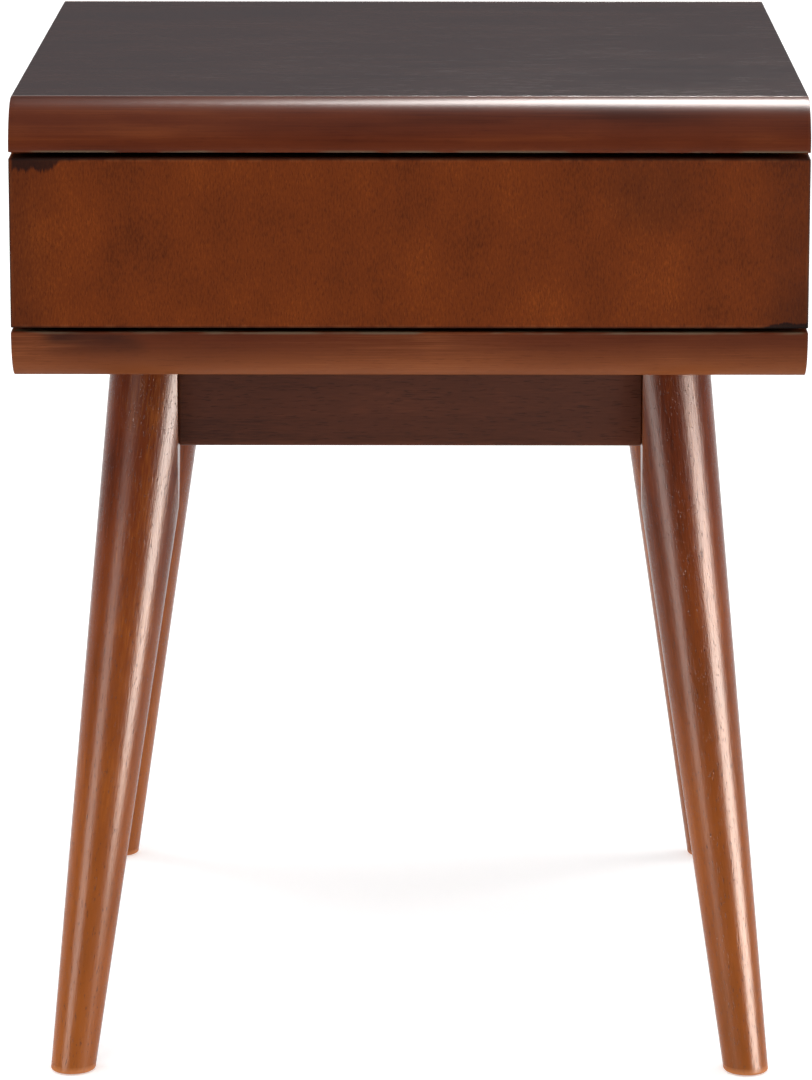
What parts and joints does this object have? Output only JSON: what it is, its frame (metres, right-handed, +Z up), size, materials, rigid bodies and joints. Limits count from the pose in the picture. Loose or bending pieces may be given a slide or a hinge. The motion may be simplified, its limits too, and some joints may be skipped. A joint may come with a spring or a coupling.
{
  "type": "side table with drawer",
  "caption": "Side table: a case with rounded front and rear edges, a flush full-width drawer without a handle, and splayed tapered round legs.",
  "frame": {"origin": "on the floor under the middle of the case", "axes": "+Z up, +X along the width, +Y from the drawer's front to the rear; the drawer opens towards -Y"},
  "size_m": [0.48, 0.54, 0.61],
  "materials": {
    "top_stain": "very dark red-brown stained wood under a glossy clear coat",
    "moulding_stain": "dark red-brown stained wood, glossy",
    "front_stain": "orange red-brown stained veneer, satin gloss",
    "case_stain": "red-brown stained veneer, satin gloss",
    "apron_stain": "dark red-brown stained wood, satin",
    "leg_stain": "red-brown stained open-pored wood, glossy",
    "drawer_box_wood": "pale sealed hardwood",
    "plywood": "pale birch-faced plywood",
    "dowel_wood": "plain beech",
    "block_wood": "raw softwood",
    "slide_steel": "zinc-plated sheet steel",
    "ball_steel": "polished bearing steel",
    "cage_plastic": "white nylon",
    "screw_steel": "yellow zinc-plated steel",
    "latch_plastic": "black moulded plastic",
    "magnet": "nickel-plated magnet",
    "spring_steel": "spring steel wire",
    "strike_steel": "zinc-plated steel",
    "glide_plastic": "brown nylon"
  },
  "bodies": {
    "case": {"top_panel": "top_stain", "top_front_moulding": "moulding_stain", "top_rear_moulding": "moulding_stain", "bottom_panel": "case_stain", "bottom_front_moulding": "moulding_stain", "bottom_rear_moulding": "moulding_stain", "side_panel_left": "case_stain", "side_panel_right": "case_stain", "rear_panel": "case_stain", "top_splines": "dowel_wood", "bottom_splines": "dowel_wood", "case_dowels": "dowel_wood", "slide_case_member_left": "slide_steel", "slide_case_member_right": "slide_steel", "slide_case_screws": "screw_steel", "latch_housing": "latch_plastic", "latch_spring": "spring_steel", "latch_screws": "screw_steel", "leg_front_left": "leg_stain", "leg_front_right": "leg_stain", "leg_rear_left": "leg_stain", "leg_rear_right": "leg_stain", "apron_front": "apron_stain", "apron_rear": "apron_stain", "apron_left": "apron_stain", "apron_right": "apron_stain", "apron_dowels": "dowel_wood", "corner_block_front_left": "block_wood", "corner_block_front_right": "block_wood", "corner_block_rear_left": "block_wood", "corner_block_rear_right": "block_wood", "corner_block_screws": "screw_steel", "base_screws": "screw_steel", "foot_glides": "glide_plastic"},
    "drawer": {"drawer_front": "front_stain", "drawer_box_front": "drawer_box_wood", "drawer_side_left": "drawer_box_wood", "drawer_side_right": "drawer_box_wood", "drawer_back": "drawer_box_wood", "drawer_bottom": "plywood", "drawer_dowels": "dowel_wood", "drawer_front_screws": "screw_steel", "slide_drawer_member_left": "slide_steel", "slide_drawer_member_right": "slide_steel", "slide_drawer_screws": "screw_steel", "strike_plate": "strike_steel", "strike_screws": "screw_steel"},
    "slide_middle_left": {"slide_middle_member_left": "slide_steel"},
    "outer_cage_left": {"outer_ball_cage_left": "cage_plastic", "outer_balls_left": "ball_steel"},
    "inner_cage_left": {"inner_ball_cage_left": "cage_plastic", "inner_balls_left": "ball_steel"},
    "slide_middle_right": {"slide_middle_member_right": "slide_steel"},
    "outer_cage_right": {"outer_ball_cage_right": "cage_plastic", "outer_balls_right": "ball_steel"},
    "inner_cage_right": {"inner_ball_cage_right": "cage_plastic", "inner_balls_right": "ball_steel"},
    "plunger": {"latch_plunger": "latch_plastic", "latch_magnet": "magnet"}
  },
  "joints": [
    {"name": "drawer_slide", "type": "slide", "parent": "case", "child": "drawer", "axis": [0, -1, 0], "range_m": [0, 0.42]},
    {"name": "middle_slide_left", "type": "slide", "parent": "case", "child": "slide_middle_left", "axis": [0, -1, 0], "range_m": [0, 0.211]},
    {"name": "outer_cage_roll_left", "type": "slide", "parent": "case", "child": "outer_cage_left", "axis": [0, -1, 0], "range_m": [0, 0.106]},
    {"name": "inner_cage_roll_left", "type": "slide", "parent": "case", "child": "inner_cage_left", "axis": [0, -1, 0], "range_m": [0, 0.316]},
    {"name": "middle_slide_right", "type": "slide", "parent": "case", "child": "slide_middle_right", "axis": [0, -1, 0], "range_m": [0, 0.211]},
    {"name": "outer_cage_roll_right", "type": "slide", "parent": "case", "child": "outer_cage_right", "axis": [0, -1, 0], "range_m": [0, 0.106]},
    {"name": "inner_cage_roll_right", "type": "slide", "parent": "case", "child": "inner_cage_right", "axis": [0, -1, 0], "range_m": [0, 0.316]},
    {"name": "plunger_press", "type": "slide", "parent": "case", "child": "plunger", "axis": [0, 1, 0], "range_m": [0, 0.003], "stiffness_N_per_m": 200, "springref_m": -0.002, "deforming": ["latch_spring"]}
  ],
  "couplings": [
    {"joint": "middle_slide_left", "follows": "drawer_slide", "ratio": 0.5},
    {"joint": "outer_cage_roll_left", "follows": "drawer_slide", "ratio": 0.25},
    {"joint": "inner_cage_roll_left", "follows": "drawer_slide", "ratio": 0.75},
    {"joint": "middle_slide_right", "follows": "drawer_slide", "ratio": 0.5},
    {"joint": "outer_cage_roll_right", "follows": "drawer_slide", "ratio": 0.25},
    {"joint": "inner_cage_roll_right", "follows": "drawer_slide", "ratio": 0.75}
  ]
}
